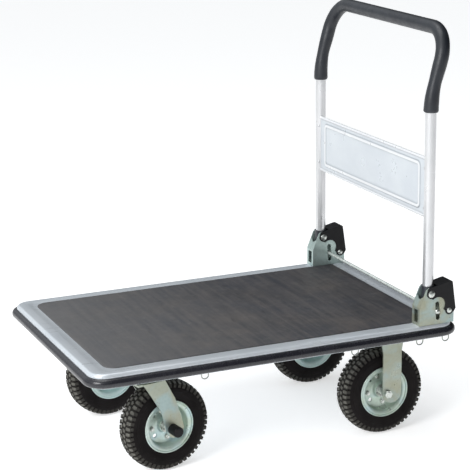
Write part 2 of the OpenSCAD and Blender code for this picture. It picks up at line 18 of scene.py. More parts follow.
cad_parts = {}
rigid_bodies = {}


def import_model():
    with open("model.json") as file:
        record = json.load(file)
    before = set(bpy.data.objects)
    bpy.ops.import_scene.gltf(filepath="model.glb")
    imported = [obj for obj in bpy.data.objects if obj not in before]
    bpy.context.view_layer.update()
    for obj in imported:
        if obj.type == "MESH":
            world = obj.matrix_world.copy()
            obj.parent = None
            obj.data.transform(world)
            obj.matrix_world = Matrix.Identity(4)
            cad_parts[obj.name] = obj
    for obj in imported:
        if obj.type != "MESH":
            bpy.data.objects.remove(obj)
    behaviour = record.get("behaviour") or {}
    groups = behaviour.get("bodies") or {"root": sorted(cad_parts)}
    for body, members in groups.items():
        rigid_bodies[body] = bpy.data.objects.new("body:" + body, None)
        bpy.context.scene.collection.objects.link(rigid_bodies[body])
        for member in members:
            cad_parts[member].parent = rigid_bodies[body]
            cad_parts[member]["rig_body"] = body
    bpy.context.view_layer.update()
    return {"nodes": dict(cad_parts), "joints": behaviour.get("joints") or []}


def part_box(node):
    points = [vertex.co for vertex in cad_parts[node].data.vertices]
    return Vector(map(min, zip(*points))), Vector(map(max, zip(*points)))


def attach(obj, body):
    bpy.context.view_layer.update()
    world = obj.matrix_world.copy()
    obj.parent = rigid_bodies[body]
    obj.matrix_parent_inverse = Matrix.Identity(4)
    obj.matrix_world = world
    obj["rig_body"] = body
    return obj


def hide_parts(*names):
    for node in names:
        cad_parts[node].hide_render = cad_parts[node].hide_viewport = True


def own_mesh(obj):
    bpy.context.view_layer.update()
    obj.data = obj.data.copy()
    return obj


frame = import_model()
MM = 0.001
scene = bpy.context.scene
joints = {joint["name"]: joint for joint in frame["joints"]}

# %% [markdown]
# ## Sizes that come from the frame
#
# A size that the frame knows is read from it, not typed again. The few numbers typed here
# are the radii of bends and rolls, which a box can't say.

# %% Sizes from the frame
deck_low, deck_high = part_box("deck_panel")
bumper_low, bumper_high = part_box("edge_bumper")
mat_low, mat_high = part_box("deck_mat")
tube_low, tube_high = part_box("handle_tube")
grip_low, grip_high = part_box("handle_grip")
panel_low, panel_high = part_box("handle_panel")

RIM_Z = deck_high.z
SHEET = 1.5 * MM
CORNER_R = 38 * MM
EDGE_R = 8 * MM
TUBE_R = 12.7 * MM
LEG_Y = tube_high.y - TUBE_R
GRIP_R = (grip_high.y - grip_low.y) / 2 - LEG_Y
GRIP_SHIFT = 11 * MM
PIVOT = Vector(joints["handle_fold"]["pos_m"])
print("deck %.0f x %.0f mm, rim at %.1f mm" % (
    1000 * (bumper_high.x - bumper_low.x), 1000 * (bumper_high.y - bumper_low.y), 1000 * RIM_Z))

# %% [markdown]
# ## A small kit for nodes and finishes
#
# `Wiring` has short ways to add to any node tree: the sky, the finishes and the Geometry Nodes
# all use it. A finish is a Principled shader with a few noise patterns behind it. They read
# Object coordinates in metres, so a speck of dust is the same size on every part and stays put
# when the part moves. `noise` makes a pattern, `ramp` turns it into a colour or a value, `mix`
# lays one colour over another, and `bump` gives the surface its fine relief.


# %% Node and finish kit
class Wiring:
    """A node tree and short ways to add to it."""

    def __init__(self, tree):
        self.tree = tree

    def new(self, kind, **values):
        """A new node with its own settings."""
        node = self.tree.nodes.new(kind)
        for key, value in values.items():
            setattr(node, key, value)
        return node

    def link(self, source, target):
        self.tree.links.new(source, target)

    def feed(self, socket, value):
        """Gives a socket another socket, a number or a colour."""
        if isinstance(value, bpy.types.NodeSocket):
            self.link(value, socket)
        elif isinstance(value, (int, float)):
            socket.default_value = value
        else:
            socket.default_value = (*value, 1)

    def maths(self, operation, *values):
        """A Math node's result."""
        node = self.new("ShaderNodeMath", operation=operation)
        for socket, value in zip(node.inputs, values):
            self.feed(socket, value)
        return node.outputs[0]

    def span(self, value, low, high, first=0.0, last=1.0, kind="LINEAR"):
        """Goes from first to last while value goes from low to high."""
        node = self.new("ShaderNodeMapRange", interpolation_type=kind)
        for socket, number in zip(node.inputs, (value, low, high, first, last)):
            self.feed(socket, number)
        return node.outputs[0]


class Finish(Wiring):
    """A procedural material built up in layers on one Principled shader."""

    def __init__(self, name, **sockets):
        self.material = bpy.data.materials.new(name)
        self.material.use_nodes = True
        super().__init__(self.material.node_tree)
        self.shader = self.tree.nodes["Principled BSDF"]
        for socket, value in sockets.items():
            self.shader.inputs[socket.replace("_", " ")].default_value = value
        self.place = self.tree.nodes.new("ShaderNodeTexCoord").outputs["Object"]
        self.normal = None

    def stretched(self, scale):
        """Object coordinates scaled per axis, for streaks and brush marks."""
        mapping = self.new("ShaderNodeMapping")
        mapping.inputs["Scale"].default_value = scale
        self.link(self.place, mapping.inputs["Vector"])
        return mapping.outputs["Vector"]

    def noise(self, scale, detail=3.0, rough=0.55, place=None, distort=0.0):
        """A cloudy value. A larger scale makes smaller clouds."""
        node = self.new("ShaderNodeTexNoise")
        settings = {"Scale": scale, "Detail": detail, "Roughness": rough, "Distortion": distort}
        for socket, value in settings.items():
            node.inputs[socket].default_value = value
        self.link(place or self.place, node.inputs["Vector"])
        return node.outputs["Fac"]

    def cells(self, scale):
        """A value that is 0 in the middle of each crystal and grows outwards."""
        node = self.new("ShaderNodeTexVoronoi")
        node.inputs["Scale"].default_value = scale
        self.link(self.place, node.inputs["Vector"])
        return node.outputs["Distance"]

    def ramp(self, value, stops):
        """Maps a value to a colour or a grey through (position, colour) stops."""
        node = self.new("ShaderNodeValToRGB")
        ramp = node.color_ramp
        while len(ramp.elements) < len(stops):
            ramp.elements.new(0.5)
        for element, (position, colour) in zip(ramp.elements, stops):
            element.position = position
            if isinstance(colour, (int, float)):
                colour = (colour, colour, colour)
            element.color = (*colour, 1)
        self.link(value, node.inputs["Fac"])
        return node.outputs["Color"]

    def mix(self, factor, under, over, amount=1, blend="MIX"):
        """Lays over on under by factor times amount. Each is a socket, a number or a colour."""
        if amount != 1:
            factor = self.maths("MULTIPLY", factor, amount)
        node = self.new("ShaderNodeMix", data_type="RGBA", blend_type=blend)
        for index, value in ((0, factor), (6, under), (7, over)):
            self.feed(node.inputs[index], value)
        return node.outputs[2]

    def attribute(self, name):
        return self.new("ShaderNodeAttribute", attribute_name=name).outputs["Fac"]

    def near(self, point, reach):
        """1 at a point, falling to 0 at a distance."""
        apart = self.new("ShaderNodeVectorMath", operation="DISTANCE")
        self.link(self.place, apart.inputs[0])
        apart.inputs[1].default_value = point
        share = self.maths("DIVIDE", apart.outputs["Value"], reach)
        return self.ramp(share, [(0.0, 1.0), (1.0, 0.0)])

    def along(self, axis):
        """0 at the deck's low end and 1 at its high end along X or Y."""
        split = self.new("ShaderNodeSeparateXYZ")
        self.link(self.place, split.inputs[0])
        side = "XY".index(axis)
        return self.span(split.outputs[axis], deck_low[side], deck_high[side])

    def bump(self, height, strength, distance):
        """Adds a relief on top of those already there."""
        node = self.new("ShaderNodeBump")
        node.inputs["Strength"].default_value = strength
        node.inputs["Distance"].default_value = distance
        self.link(height, node.inputs["Height"])
        if self.normal:
            self.link(self.normal, node.inputs["Normal"])
        self.normal = node.outputs["Normal"]

    def done(self, colour, roughness=None):
        """Joins the layers to the shader and gives the finished material."""
        for socket, value in (("Base Color", colour), ("Roughness", roughness), ("Normal", self.normal)):
            if value:
                self.link(value, self.shader.inputs[socket])
        return self.material


print("finish kit ready")

# %% [markdown]
# ## Camera, light and floor
#
# The camera stands off the front left corner with a long lens, a little above the handle, and
# looks down at about fifteen degrees. A long lens keeps the verticals nearly parallel. The
# light is a white studio: a pale floor, a bright soft box on the left, a weaker one above,
# and a world that is white on the left and greyer on the right, so that plated steel and the
# handle tubes get a bright side and a dark side, which is what makes them read as metal.

# %% Camera
camera_data = bpy.data.cameras.new("camera")
camera_data.sensor_width = 36
camera_data.lens = 131.15
camera_data.clip_end = 100
camera = bpy.data.objects.new("camera", camera_data)
scene.collection.objects.link(camera)
camera.location = (-1.5486, -3.6067, 1.5347)
CAMERA_YAW = math.radians(-23.46)
CAMERA_PITCH = math.radians(15.09)
CAMERA_ROLL = math.radians(-0.67)
camera.rotation_euler = (
    Matrix.Rotation(CAMERA_YAW, 3, "Z")
    @ Matrix.Rotation(math.pi / 2 - CAMERA_PITCH, 3, "X")
    @ Matrix.Rotation(CAMERA_ROLL, 3, "Z")
).to_euler()
scene.camera = camera
print("camera at", tuple(round(v, 3) for v in camera.location))

# %% Floor
scene.view_settings.view_transform = "Standard"
scene.view_settings.look = "None"

FLOOR_HALF = 40
floor_mesh = bpy.data.meshes.new("floor")
floor_mesh.from_pydata(
    [(x * FLOOR_HALF, y * FLOOR_HALF, 0) for x, y in ((-1, -1), (1, -1), (1, 1), (-1, 1))],
    [], [(0, 1, 2, 3)])
floor = bpy.data.objects.new("floor", floor_mesh)
scene.collection.objects.link(floor)
floor_mesh.materials.append(Finish(
    "floor_white", Base_Color=(0.80, 0.80, 0.80, 1), Roughness=0.9, Specular_IOR_Level=0.1,
    Emission_Color=(1, 1, 1, 1), Emission_Strength=0.58).material)
print("floor: %d m square" % (2 * FLOOR_HALF))


# %% Soft boxes
def soft_box(name, place, aim, power, size=2.0):
    """A square area light that points from place at aim."""
    data = bpy.data.lights.new(name, "AREA")
    data.shape = "SQUARE"
    data.size = size
    data.energy = power
    lamp = bpy.data.objects.new(name, data)
    lamp.location = place
    lamp.rotation_euler = (Vector(aim) - Vector(place)).to_track_quat("-Z", "Y").to_euler()
    scene.collection.objects.link(lamp)


soft_box("key_left", (-3.6, -2.2, 2.8), aim=(0, 0, 0.4), power=150)
soft_box("top", (-0.4, 0.6, 3.8), aim=(0, 0, 0.3), power=36)
print("lights:", len(bpy.data.lights))

# %% Sky
world = bpy.data.worlds.new("studio")
scene.world = world
world.use_nodes = True
sky = Wiring(world.node_tree)
way = sky.new("ShaderNodeSeparateXYZ")
sky.link(sky.new("ShaderNodeTexCoord").outputs["Generated"], way.inputs[0])
sky_right = sky.span(way.outputs["X"], -0.1, 0.45, 0.85, 0.04, "SMOOTHSTEP")
sky_front = sky.span(way.outputs["Y"], -0.9, -0.1, 0.42, 1.0, "SMOOTHSTEP")
sky_low = sky.span(way.outputs["Z"], 0.0, 0.45, 0.55, 1.0, "SMOOTHSTEP")
shade = sky.maths("MULTIPLY", sky.maths("MULTIPLY", sky_right, sky_front), sky_low)
background = sky.tree.nodes["Background"]
sky.link(shade, background.inputs["Strength"])
background.inputs["Color"].default_value = (0.93, 0.97, 1.0, 1)
print("sky: darker on the right, in front and near the floor")

# %% [markdown]
# ## The finishes
#
# Zinc plating is the trickiest of the finishes: it is a bright metal under a thin passivated
# film, so it is neither grey nor even. Large soft clouds move its colour between blue-white
# and yellow-green, a fine spangle breaks up the reflections, and a few rust-brown freckles
# show where the film has worn through, most of them on one spot of the left front fork.
# Towards the far side, +Y, the colour is also mixed towards a brighter, cooler tint. This is
# painted light on the far hinge bracket, which the handle shades.


# %% Metals
fork_low, fork_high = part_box("swivel_fork_left")
RUST_SPOT = (fork_low.x + 0.38 * (fork_high.x - fork_low.x), fork_low.y, 172 * MM)
RUST_REACH = 22 * MM
RUST_BROWN = (0.22, 0.12, 0.05)


def zinc_plate(name, pale, tint, cool, freckles):
    """Passivated zinc: a soft metal with cloudy tints, spangle, a few rust freckles, and painted light
    that makes it brighter and cooler towards the far (+Y) side.
    """
    f = Finish(name, Metallic=0.55, Roughness=0.34)
    clouds = f.ramp(f.noise(9, 4, 0.6, distort=0.6), [(0.35, 0.0), (0.65, 1.0)])
    colour = f.mix(clouds, pale, tint)
    patches = f.ramp(f.noise(17, 3, 0.5, distort=0.8), [(0.48, 0.0), (0.66, 1.0)])
    colour = f.mix(patches, colour, cool)
    # Painted light: towards +Y, the far side, the zinc is mixed towards a brighter, cooler tint.
    painted_far_light = f.ramp(f.along("Y"), [(0.5, 0.0), (0.9, 0.8)])
    colour = f.mix(painted_far_light, colour, [1.25 * c for c in cool])
    spangle = f.ramp(f.cells(150), [(0.0, 0.80), (0.7, 1.0)])
    colour = f.mix(0.4, colour, spangle, blend="MULTIPLY")
    extra = f.maths("MULTIPLY", f.near(RUST_SPOT, RUST_REACH), 0.22)
    blots = f.maths("ADD", f.noise(75, 5, 0.7), extra)
    specks = f.ramp(blots, [(freckles, 0.0), (freckles + 0.04, 1.0)])
    colour = f.mix(specks, colour, RUST_BROWN)
    rough = f.ramp(f.noise(26, 4), [(0.3, 0.24), (0.7, 0.46)])
    f.bump(f.noise(16, 2), 0.25, 0.0012)
    f.bump(f.noise(420, 2), 0.12, 0.0004)
    return f.done(colour, rough)


ZINC = zinc_plate("zinc_plate", (0.36, 0.40, 0.345), (0.34, 0.35, 0.265), (0.33, 0.42, 0.41), 0.68)
RIM_ZINC = zinc_plate("rim_zinc", (0.60, 0.70, 0.65), (0.50, 0.60, 0.50), (0.52, 0.66, 0.66), 0.78)


def bright_zinc(name, dark, light, metal):
    """Fasteners, pins and wire: brighter and smoother than the plates."""
    f = Finish(name, Metallic=metal, Roughness=0.28)
    colour = f.ramp(f.noise(60, 3), [(0.3, dark), (0.7, light)])
    rough = f.ramp(f.noise(140, 4), [(0.3, 0.20), (0.75, 0.40)])
    f.bump(f.noise(600, 2), 0.10, 0.0003)
    return f.done(colour, rough)


BRIGHT = bright_zinc("bright_zinc", (0.52, 0.56, 0.53), (0.66, 0.68, 0.64), 0.9)
# A lighter, less metallic copy of bright zinc for the latch rod. This is a painted highlight, so that the
# rod reads as a bright line.
LATCH_ROD_ZINC_HIGHLIGHT = bright_zinc("rod_zinc", (0.62, 0.68, 0.65), (0.78, 0.82, 0.79), 0.45)
EYE_WIRE = bright_zinc("eye_wire", (0.30, 0.32, 0.30), (0.42, 0.43, 0.40), 0.85)


def deck_steel():
    """The deck's sheet: pale blue-grey metallic lacquer with rolling marks along the sheet."""
    f = Finish("deck_steel", Metallic=0.4, Roughness=0.33)
    clouds = f.ramp(f.noise(5, 4, 0.6), [(0.3, (0.60, 0.645, 0.69)), (0.7, (0.69, 0.73, 0.765))])
    marks = f.noise(1, 4, 0.6, place=f.stretched((6, 260, 260)))
    rough = f.ramp(marks, [(0.3, 0.26), (0.7, 0.40)])
    scuffs = f.ramp(f.noise(30, 5, 0.7), [(0.60, 0.0), (0.78, 0.5)])
    colour = f.mix(scuffs, clouds, (0.46, 0.49, 0.52))
    f.bump(marks, 0.06, 0.0003)
    return f.done(colour, rough)


DECK = deck_steel()


def powder_coat(name, dark, light, metal):
    """Silver-white powder coat. The ridge attribute paints a highlight on pressed relief, and the crease
    attribute paints shade in its creases.
    """
    f = Finish(name, Metallic=metal, Coat_Weight=0.25, Coat_Roughness=0.2)
    colour = f.ramp(f.noise(12, 4), [(0.3, dark), (0.7, light)])
    # Painted highlight on the ridges, painted shade in the creases and on the slopes.
    colour = f.mix(f.attribute("ridge"), colour, (0.80, 0.81, 0.82), amount=0.8)
    colour = f.mix(f.attribute("crease"), colour, (0.34, 0.37, 0.40), amount=0.75)
    rough = f.ramp(f.noise(22, 3), [(0.3, 0.26), (0.7, 0.38)])
    f.bump(f.noise(30, 2), 0.06, 0.0006)
    return f.done(colour, rough)


PAINT = powder_coat("painted_tube", (0.62, 0.63, 0.64), (0.68, 0.68, 0.69), 0.75)
PANEL = powder_coat("painted_panel", (0.56, 0.60, 0.64), (0.63, 0.67, 0.70), 0.25)


def spring_wire():
    """Dark drawn wire."""
    f = Finish("spring_wire", Metallic=0.9, Roughness=0.4)
    colour = f.ramp(f.noise(90, 3), [(0.3, (0.20, 0.20, 0.20)), (0.7, (0.32, 0.31, 0.30))])
    return f.done(colour)


WIRE = spring_wire()
metals = (ZINC, RIM_ZINC, BRIGHT, LATCH_ROD_ZINC_HIGHLIGHT, EYE_WIRE, DECK, PAINT, PANEL, WIRE)
print("metal finishes:", ", ".join(m.name for m in metals))


# %% Rubber, plastic and foam
def mat_rubber():
    """The mat: well-used dark vinyl with blotches, faint streaks across it and a fine grain, and painted
    light that makes it lighter towards its front end.
    """
    f = Finish("mat_rubber", Specular_IOR_Level=0.3)
    colour = f.ramp(f.noise(8, 7, 0.66, distort=0.5), [
        (0.28, (0.030, 0.033, 0.040)), (0.50, (0.052, 0.051, 0.054)), (0.72, (0.090, 0.079, 0.073))])
    stains = f.ramp(f.noise(4.5, 4, 0.6, distort=0.4), [(0.40, 0.0), (0.62, 1.0)])
    colour = f.mix(stains, colour, (0.036, 0.042, 0.056), amount=0.55)
    streaks = f.ramp(f.noise(1, 6, 0.65, place=f.stretched((95, 5, 1))), [(0.38, 0.0), (0.66, 1.0)])
    colour = f.mix(streaks, colour, (0.115, 0.104, 0.100), amount=0.5)
    dents = f.noise(1, 6, 0.7, place=f.stretched((70, 11, 1)), distort=0.5)
    dents = f.ramp(dents, [(0.26, 1.0), (0.40, 0.0)])
    colour = f.mix(dents, colour, (0.016, 0.016, 0.020), amount=0.85)
    dust = f.ramp(f.noise(60, 6, 0.7), [(0.56, 0.0), (0.75, 1.0)])
    colour = f.mix(dust, colour, (0.15, 0.14, 0.13), amount=0.45)
    # Painted light: the mat is made lighter towards its front end (-X), the end nearest the key lamp.
    lightening = f.ramp(f.along("X"), [(0.0, 1.0), (0.62, 0.0)])
    colour = f.mix(lightening, colour, (0.165, 0.165, 0.165), amount=0.5)
    rough = f.ramp(f.noise(18, 5), [(0.3, 0.46), (0.7, 0.70)])
    f.bump(f.noise(700, 3), 0.35, 0.0005)
    f.bump(f.noise(1, 2, 0.5, place=f.stretched((420, 8, 1))), 0.25, 0.0004)
    return f.done(colour, rough)


MAT = mat_rubber()


def tyre_rubber():
    """Black tyre rubber. The wear attribute is 1 on the ground faces of the lugs."""
    f = Finish("tyre_rubber", Specular_IOR_Level=0.10)
    black = f.ramp(f.noise(20, 5), [(0.3, (0.005, 0.004, 0.004)), (0.7, (0.011, 0.009, 0.009))])
    dusty = f.ramp(f.noise(90, 5, 0.65), [(0.25, (0.055, 0.053, 0.048)), (0.75, (0.17, 0.165, 0.145))])
    colour = f.mix(f.attribute("wear"), black, dusty)
    rough = f.ramp(f.noise(60, 4), [(0.3, 0.50), (0.7, 0.72)])
    f.bump(f.noise(520, 3), 0.20, 0.0004)
    return f.done(colour, rough)


TYRE = tyre_rubber()


def moulded(name, dark, light, rough_low, rough_high, grain, relief, shine=0.5):
    """A dark moulded plastic or foam skin, given by its colours, gloss and grain."""
    f = Finish(name, Specular_IOR_Level=shine)
    colour = f.ramp(f.noise(24, 4), [(0.3, dark), (0.7, light)])
    rough = f.ramp(f.noise(80, 3), [(0.3, rough_low), (0.7, rough_high)])
    f.bump(f.noise(grain, 2), relief, 0.0004)
    return f.done(colour, rough)


BUMPER = moulded("bumper_pvc", (0.010, 0.010, 0.014), (0.018, 0.018, 0.024), 0.20, 0.32, 300, 0.05, 0.6)
COVER = moulded("cover_plastic", (0.003, 0.003, 0.004), (0.006, 0.006, 0.007), 0.30, 0.44, 900, 0.15, 0.22)
FERRULE = moulded("ferrule_plastic", (0.016, 0.019, 0.024), (0.034, 0.038, 0.046), 0.28, 0.42, 900, 0.12)
FOAM = moulded("grip_foam", (0.010, 0.012, 0.017), (0.020, 0.023, 0.029), 0.34, 0.50, 480, 0.30)
TUBE_RUBBER = moulded("tube_rubber", (0.010, 0.010, 0.010), (0.02, 0.018, 0.017), 0.5, 0.65, 400, 0.1)
soft = (MAT, TYRE, BUMPER, COVER, FERRULE, FOAM, TUBE_RUBBER)
print("soft finishes:", ", ".join(m.name for m in soft))

# %% [markdown]
# ## A small kit for shapes
#
# Three ways of making a shape do most of the work. A *sweep* carries a section along a path,
# which is how the deck's rim, the bumper and the handle tube are really made: rolled,
# extruded and bent. A *lathe* turns a section round an axle, for tyres and rims. *Softening*
# takes a part of the frame, welds its loose triangles and rounds its edges by half a
# millimetre or so, because a pressed or moulded edge always catches a thin line of light.


# %% Shape kit
def publish(name, mesh, body, material, nodes, crease):
    """Makes a mesh a finished piece that rides on a body and stands for CAD nodes."""
    mesh.name = name
    piece = bpy.data.objects.new(name, mesh)
    scene.collection.objects.link(piece)
    if not mesh.materials:
        mesh.materials.append(material)
    mesh.polygons.foreach_set("use_smooth", [True] * len(mesh.polygons))
    mesh.set_sharp_from_angle(angle=math.radians(crease))
    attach(piece, body)
    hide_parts(*nodes)
    print("%s: %d faces on %s" % (name, len(mesh.polygons), body))
    return piece


def mesh_of(bm, place=None, outward=True):
    """Turns a bmesh into a mesh, welded, placed and with its faces pointing outwards."""
    bmesh.ops.remove_doubles(bm, verts=bm.verts, dist=1e-6)
    if place:
        bmesh.ops.transform(bm, matrix=place, verts=bm.verts)
    if outward:
        bmesh.ops.recalc_face_normals(bm, faces=bm.faces)
    mesh = bpy.data.meshes.new("shape")
    bm.to_mesh(mesh)
    bm.free()
    return mesh


def skin(bm, rings, close_path=False, close_section=True, caps=False):
    """Joins rings of points with quads, and gives the rings' vertices."""
    rows = [[bm.verts.new(p) for p in ring] for ring in rings]
    count = len(rows[0])
    pairs = list(zip(rows, rows[1:]))
    if close_path:
        pairs.append((rows[-1], rows[0]))
    for row_a, row_b in pairs:
        for i in range(count if close_section else count - 1):
            k = (i + 1) % count
            bm.faces.new((row_a[i], row_a[k], row_b[k], row_b[i]))
    if caps:
        bm.faces.new(rows[0])
        bm.faces.new(reversed(rows[-1]))
    return rows


def arc(centre, radius, start, end, count):
    """Points on an arc, with its angles in degrees."""
    return [(centre[0] + radius * math.cos(math.radians(start + (end - start) * i / count)),
             centre[1] + radius * math.sin(math.radians(start + (end - start) * i / count)))
            for i in range(count + 1)]


def rounded_rect(half_x, half_y, radius, count=10):
    """(point, outward direction) pairs round a rounded rectangle."""
    out = []
    for turn, sx, sy in ((0, 1, 1), (90, -1, 1), (180, -1, -1), (270, 1, -1)):
        for i in range(count + 1):
            a = math.radians(turn + 90 * i / count)
            way = Vector((math.cos(a), math.sin(a), 0))
            out.append((Vector((sx * (half_x - radius), sy * (half_y - radius), 0)) + radius * way, way))
    return out


def sweep_around(bm, half_x, half_y, radius, section, count=10, closed=True):
    """Carries a section of (outward, height) points round a rounded rectangle."""
    rings = [[(p.x + e * way.x, p.y + e * way.y, z) for e, z in section]
             for p, way in rounded_rect(half_x, half_y, radius, count)]
    return skin(bm, rings, close_path=True, close_section=closed)


def smooth_step(x, edge_a, edge_b):
    """0 at edge_a, 1 at edge_b and a soft rise between them."""
    t = min(max((x - edge_a) / (edge_b - edge_a), 0.0), 1.0)
    return t * t * (3 - 2 * t)


def lathe(bm, section, steps, closed=True):
    """Turns a section of (radius, along) points round the Y axis."""
    rings = []
    for i in range(steps):
        a = 2 * math.pi * i / steps
        rings.append([(r * math.cos(a), y, r * math.sin(a)) for r, y in section])
    return skin(bm, rings, close_path=True, close_section=closed)


def turned(bm, x, z, levels, sides):
    """A closed shape turned round an axis along Y at x, z. levels are its (radius, y) pairs."""
    angles = [2 * math.pi * i / sides for i in range(sides)]
    skin(bm, [[(x + r * math.cos(a), y, z + r * math.sin(a)) for a in angles] for r, y in levels],
         caps=True)


def soften(node, width_mm, material):
    """Stands in for a CAD node with the same shape, its edges rounded by width_mm."""
    name = node + "_finished"
    source = frame["nodes"][node]
    bm = bmesh.new()
    bm.from_mesh(source.data)
    bmesh.ops.remove_doubles(bm, verts=bm.verts, dist=2e-6)
    bmesh.ops.dissolve_limit(bm, angle_limit=math.radians(1.0), verts=bm.verts, edges=bm.edges)
    mesh = bpy.data.meshes.new(name)
    bm.to_mesh(mesh)
    bm.free()
    piece = publish(name, mesh, source["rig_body"], material, [node], crease=40)
    bevel = piece.modifiers.new("round", "BEVEL")
    bevel.width = width_mm * MM
    bevel.segments = 2
    bevel.limit_method = "ANGLE"
    bevel.angle_limit = math.radians(30)
    bevel.use_clamp_overlap = True
    bevel.harden_normals = True
    return piece


print("shape kit ready")

# %% [markdown]
# ## Geometry Nodes for what repeats
#
# Lugs and bolts repeat round an axle, so one small tree does them all: it takes the shape that
# it is given, copies it round the Y axis from a start angle on, and makes real mesh of the
# copies, because instances don't survive an export. A second tree winds a wire into a spring.
# Each tree is built once, with named inputs for its sizes.


# %% How a tree starts and ends
def start_tree(name, **inputs):
    """An empty Geometry Nodes tree: its wiring, its named inputs and its way out."""
    net = Wiring(bpy.data.node_groups.new(name, "GeometryNodeTree"))
    socket = net.tree.interface.new_socket
    for label, kind in inputs.items():
        socket(label.replace("_", " "), in_out="INPUT", socket_type="NodeSocket" + kind)
    socket("Geometry", in_out="OUTPUT", socket_type="NodeSocketGeometry")
    return net, net.new("NodeGroupInput").outputs, net.new("NodeGroupOutput").inputs[0]


def end_tree(net, given, out, shape):
    """Makes real mesh of a shape, gives it the tree's Material and sends it out."""
    real = net.new("GeometryNodeRealizeInstances")
    paint = net.new("GeometryNodeSetMaterial")
    net.link(shape, real.inputs[0])
    net.link(real.outputs[0], paint.inputs["Geometry"])
    net.link(given["Material"], paint.inputs["Material"])
    net.link(paint.outputs[0], out)
    return net.tree


print("tree kit ready")


# %% The ring tree
def make_ring_tree():
    """Geometry Nodes: copies of the incoming mesh round the Y axis."""
    net, given, out = start_tree("ring_of_copies", Geometry="Geometry", Count="Int",
                                 Start_Angle="Float", Material="Material")
    points = net.new("GeometryNodePoints")
    spin = net.new("ShaderNodeCombineXYZ")
    copies = net.new("GeometryNodeInstanceOnPoints")
    share = net.maths("DIVIDE", net.new("GeometryNodeInputIndex").outputs[0], given["Count"])
    angle = net.maths("MULTIPLY_ADD", share, 2 * math.pi, given["Start Angle"])
    net.link(given["Count"], points.inputs["Count"])
    net.link(angle, spin.inputs["Y"])
    net.link(points.outputs[0], copies.inputs["Points"])
    net.link(given["Geometry"], copies.inputs["Instance"])
    net.link(spin.outputs[0], copies.inputs["Rotation"])
    return end_tree(net, given, out, copies.outputs[0])


def plain_mesh(piece):
    """The mesh that an object's modifiers make. The object itself is removed."""
    graph = bpy.context.evaluated_depsgraph_get()
    mesh = bpy.data.meshes.new_from_object(piece.evaluated_get(graph))
    bpy.data.objects.remove(piece)
    return mesh


def run_tree(tree, mesh, name, **values):
    """Runs a Geometry Nodes tree on a mesh and returns the plain mesh that comes out."""
    holder = bpy.data.objects.new(name + "_maker", mesh)
    scene.collection.objects.link(holder)
    modifier = holder.modifiers.new("maker", "NODES")
    modifier.node_group = tree
    sockets = {item.name: item.identifier for item in tree.interface.items_tree
               if item.in_out == "INPUT"}
    for label, value in values.items():
        modifier[sockets[label.replace("_", " ")]] = value
    bpy.context.view_layer.update()
    result = plain_mesh(holder)
    result.name = name
    return result


RING = make_ring_tree()
print("ring tree:", len(RING.nodes), "nodes")


# %% The coil tree
def make_coil_tree():
    """Geometry Nodes: a helical spring that stands on the XY plane."""
    net, given, out = start_tree("coil_spring", Radius="Float", Height="Float", Turns="Float",
                                 Wire="Float", Place="Vector", Material="Material")
    spiral = net.new("GeometryNodeCurveSpiral")
    spiral.inputs["Resolution"].default_value = 20
    section = net.new("GeometryNodeCurvePrimitiveCircle")
    section.inputs["Resolution"].default_value = 10
    tube = net.new("GeometryNodeCurveToMesh")
    tube.inputs["Fill Caps"].default_value = True
    move = net.new("GeometryNodeTransform")
    for label, socket in (("Radius", "Start Radius"), ("Radius", "End Radius"), ("Height", "Height"),
                          ("Turns", "Rotations")):
        net.link(given[label], spiral.inputs[socket])
    net.link(given["Wire"], section.inputs["Radius"])
    net.link(spiral.outputs[0], tube.inputs["Curve"])
    net.link(section.outputs[0], tube.inputs["Profile Curve"])
    net.link(tube.outputs[0], move.inputs["Geometry"])
    net.link(given["Place"], move.inputs["Translation"])
    return end_tree(net, given, out, move.outputs[0])


COIL = make_coil_tree()
print("coil tree:", len(COIL.nodes), "nodes")

# %% [markdown]
# ## The deck
#
# The deck is one pressed sheet. Its rim is rolled over at a radius of eight millimetres and
# turns down into a skirt with a narrow lip, and a shallow step lets the mat lie nearly flush.
# A rolled rim is a sweep, so the whole sheet is made as rings round the same rounded
# rectangle, from the lip outwards over the rim and in to the middle.


# %% Deck sheet
def make_deck():
    """One open sheet: lip, skirt, rolled rim, a slope down to the recess, and its floor."""
    low = deck_low.z
    lip, toe = 13.5 * MM, 2.5 * MM
    outer = [(-lip, low + SHEET), (-lip, low), (-toe, low)]
    outer += arc((-toe, low + toe), toe, 270, 360, 4)
    outer += arc((-EDGE_R, RIM_Z - EDGE_R), EDGE_R, 0, 90, 10)
    slope, gap, drop = 5 * MM, 12 * MM, RIM_Z - mat_low.z
    steps = [(slope * math.cos(math.pi * i / 10), RIM_Z - drop * smooth_step(i, 0, 10))
             for i in range(11)]
    lines = [rounded_rect(mat_high.x + gap + e, mat_high.y + gap + e, 20 * MM + e) for e, _ in steps]
    rings = []
    for i, (p, way) in enumerate(rounded_rect(deck_high.x, deck_high.y, CORNER_R)):
        ring = [(p.x + e * way.x, p.y + e * way.y, z) for e, z in outer]
        ring += [(line[i][0].x, line[i][0].y, z) for (_, z), line in zip(steps, lines)]
        rings.append(ring)
    bm = bmesh.new()
    rows = skin(bm, rings, close_path=True, close_section=False)
    bm.faces.new([row[-1] for row in rows])
    piece = publish("deck_sheet", mesh_of(bm), "root", DECK, ["deck_panel"], 50)
    wall = piece.modifiers.new("sheet", "SOLIDIFY")
    wall.thickness = SHEET
    wall.offset = -1


make_deck()

# %% [markdown]
# ## Mat and bumper
#
# The mat is a two-millimetre sheet of vinyl with cut, slightly softened edges; it is notched
# round the hinge brackets. The bumper is an extruded strip, fuller in the middle than at its
# edges, so a bright studio draws one long highlight along it.


